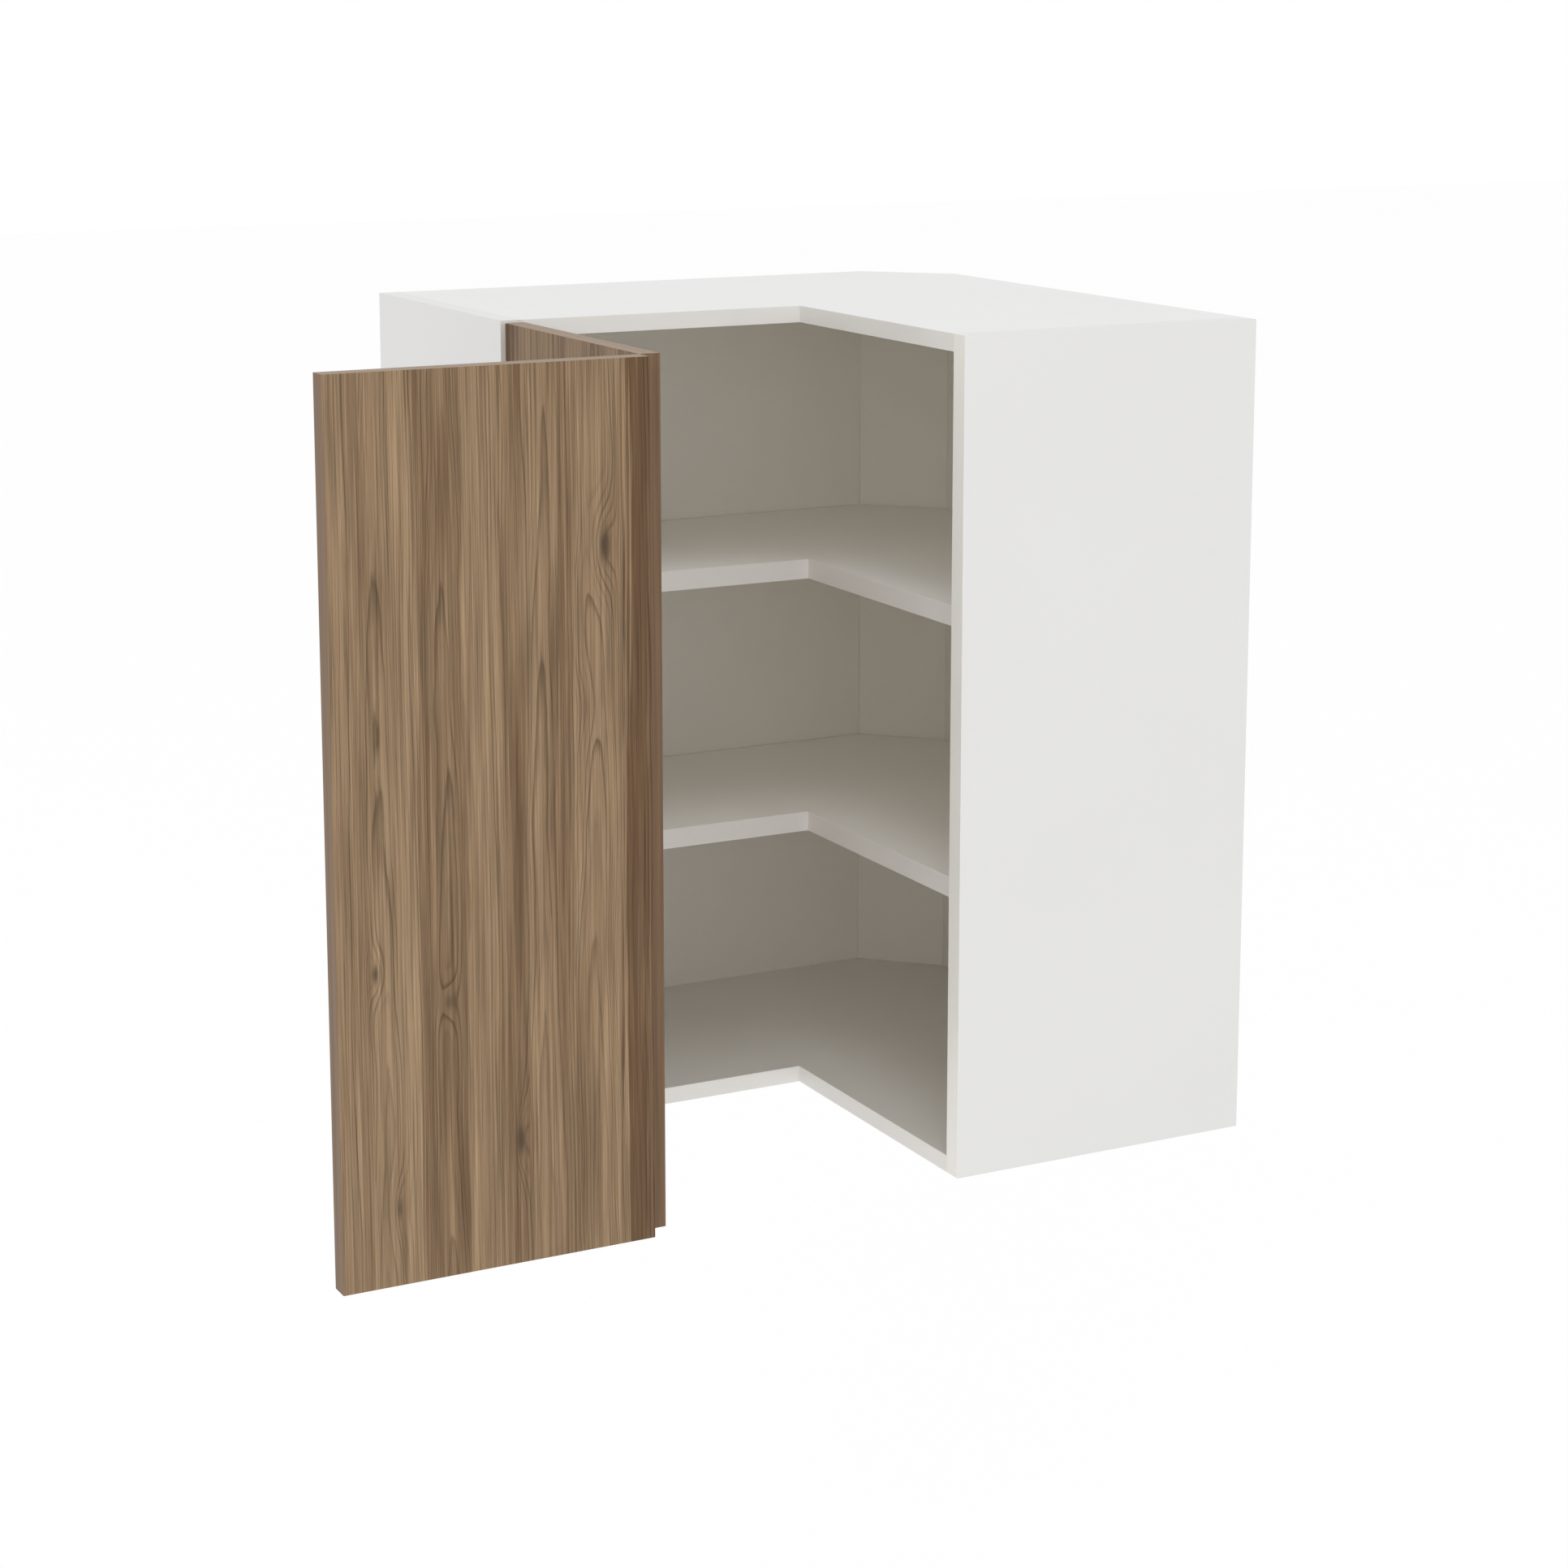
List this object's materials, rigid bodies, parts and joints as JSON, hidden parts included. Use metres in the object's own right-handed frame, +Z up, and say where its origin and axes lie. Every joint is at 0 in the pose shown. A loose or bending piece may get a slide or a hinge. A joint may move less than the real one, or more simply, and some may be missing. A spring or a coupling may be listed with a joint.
{
  "type": "hanging corner wall cabinet",
  "caption": "L-shaped hanging corner wall cabinet with a chamfered wall corner, shelves, and a walnut corner door of hinged leaves that swings open in one piece.",
  "frame": {"origin": "on the underside of the bottom panel, below the centre of the corner square that both legs share (152.4 mm from each wall)", "axes": "+Z up, +Y towards the wall behind the far leg, -X towards the wall behind the hinge side leg, so +X and -Y point into the room"},
  "size_m": [0.6096, 0.8885, 0.7636],
  "materials": {
    "carcass_white": "white melamine-faced board, satin",
    "shelf_white": "white melamine-faced board, satin",
    "back_white": "white-faced thin board, matt",
    "walnut": "walnut veneer, vertical grain, satin lacquer",
    "nickel": "nickel-plated steel",
    "zinc": "zinc-plated steel",
    "hanger_plastic": "moulded off-white plastic"
  },
  "bodies": {
    "carcass": {"hinge_side_panel": "carcass_white", "far_side_panel": "carcass_white", "bottom_panel": "carcass_white", "top_panel": "carcass_white", "left_back_panel": "back_white", "corner_back_panel": "back_white", "right_back_panel": "back_white", "shelf_1": "shelf_white", "shelf_pin_1_1": "nickel", "shelf_pin_1_2": "nickel", "shelf_pin_1_3": "nickel", "shelf_pin_1_4": "nickel", "shelf_pin_1_5": "nickel", "shelf_2": "shelf_white", "shelf_pin_2_1": "nickel", "shelf_pin_2_2": "nickel", "shelf_pin_2_3": "nickel", "shelf_pin_2_4": "nickel", "shelf_pin_2_5": "nickel", "cam_lock_1": "zinc", "cam_lock_2": "zinc", "cam_lock_3": "zinc", "cam_lock_4": "zinc", "cam_lock_5": "zinc", "cam_lock_6": "zinc", "cam_lock_7": "zinc", "cam_lock_8": "zinc", "hanger_housing_left": "hanger_plastic", "hanger_hook_left": "zinc", "hanger_housing_right": "hanger_plastic", "hanger_hook_right": "zinc", "hinge_plate_1": "nickel", "hinge_arm_1": "nickel", "hinge_arm_pin_1": "zinc", "hinge_plate_2": "nickel", "hinge_arm_2": "nickel", "hinge_arm_pin_2": "zinc", "hinge_plate_3": "nickel", "hinge_arm_3": "nickel", "hinge_arm_pin_3": "zinc"},
    "hinge_links": {"hinge_link_1": "nickel", "hinge_link_2": "nickel", "hinge_link_3": "nickel"},
    "hinged_leaf": {"door_leaf_hinged": "walnut", "hinge_cup_1": "nickel", "hinge_cup_2": "nickel", "hinge_cup_3": "nickel", "hinge_cup_pin_1": "zinc", "hinge_cup_pin_2": "zinc", "hinge_cup_pin_3": "zinc", "fold_hinge_flap_hinged_1": "nickel", "fold_hinge_flap_hinged_2": "nickel", "fold_hinge_flap_hinged_3": "nickel", "fold_hinge_pin_1": "zinc", "fold_hinge_pin_2": "zinc", "fold_hinge_pin_3": "zinc"},
    "free_leaf": {"door_leaf_free": "walnut", "fold_hinge_flap_free_1": "nickel", "fold_hinge_flap_free_2": "nickel", "fold_hinge_flap_free_3": "nickel"}
  },
  "joints": [
    {"name": "link_swing", "type": "hinge", "parent": "carcass", "child": "hinge_links", "pos_m": [0.1464, -0.4332, 0.3789], "axis": [0, 0, -1], "range_deg": [0, 49.5]},
    {"name": "door_swing", "type": "hinge", "parent": "hinge_links", "child": "hinged_leaf", "pos_m": [0.16318, -0.43516, 0.3789], "axis": [0, 0, -1], "range_deg": [-139.6, 0.1]},
    {"name": "leaf_fold", "type": "hinge", "parent": "hinged_leaf", "child": "free_leaf", "pos_m": [0.43406, -0.4557, 0.3789], "axis": [0, 0, -1], "range_deg": [0, 85]}
  ],
  "couplings": [
    {"joint": "door_swing", "follows": "link_swing", "ratio": -2.8182}
  ]
}
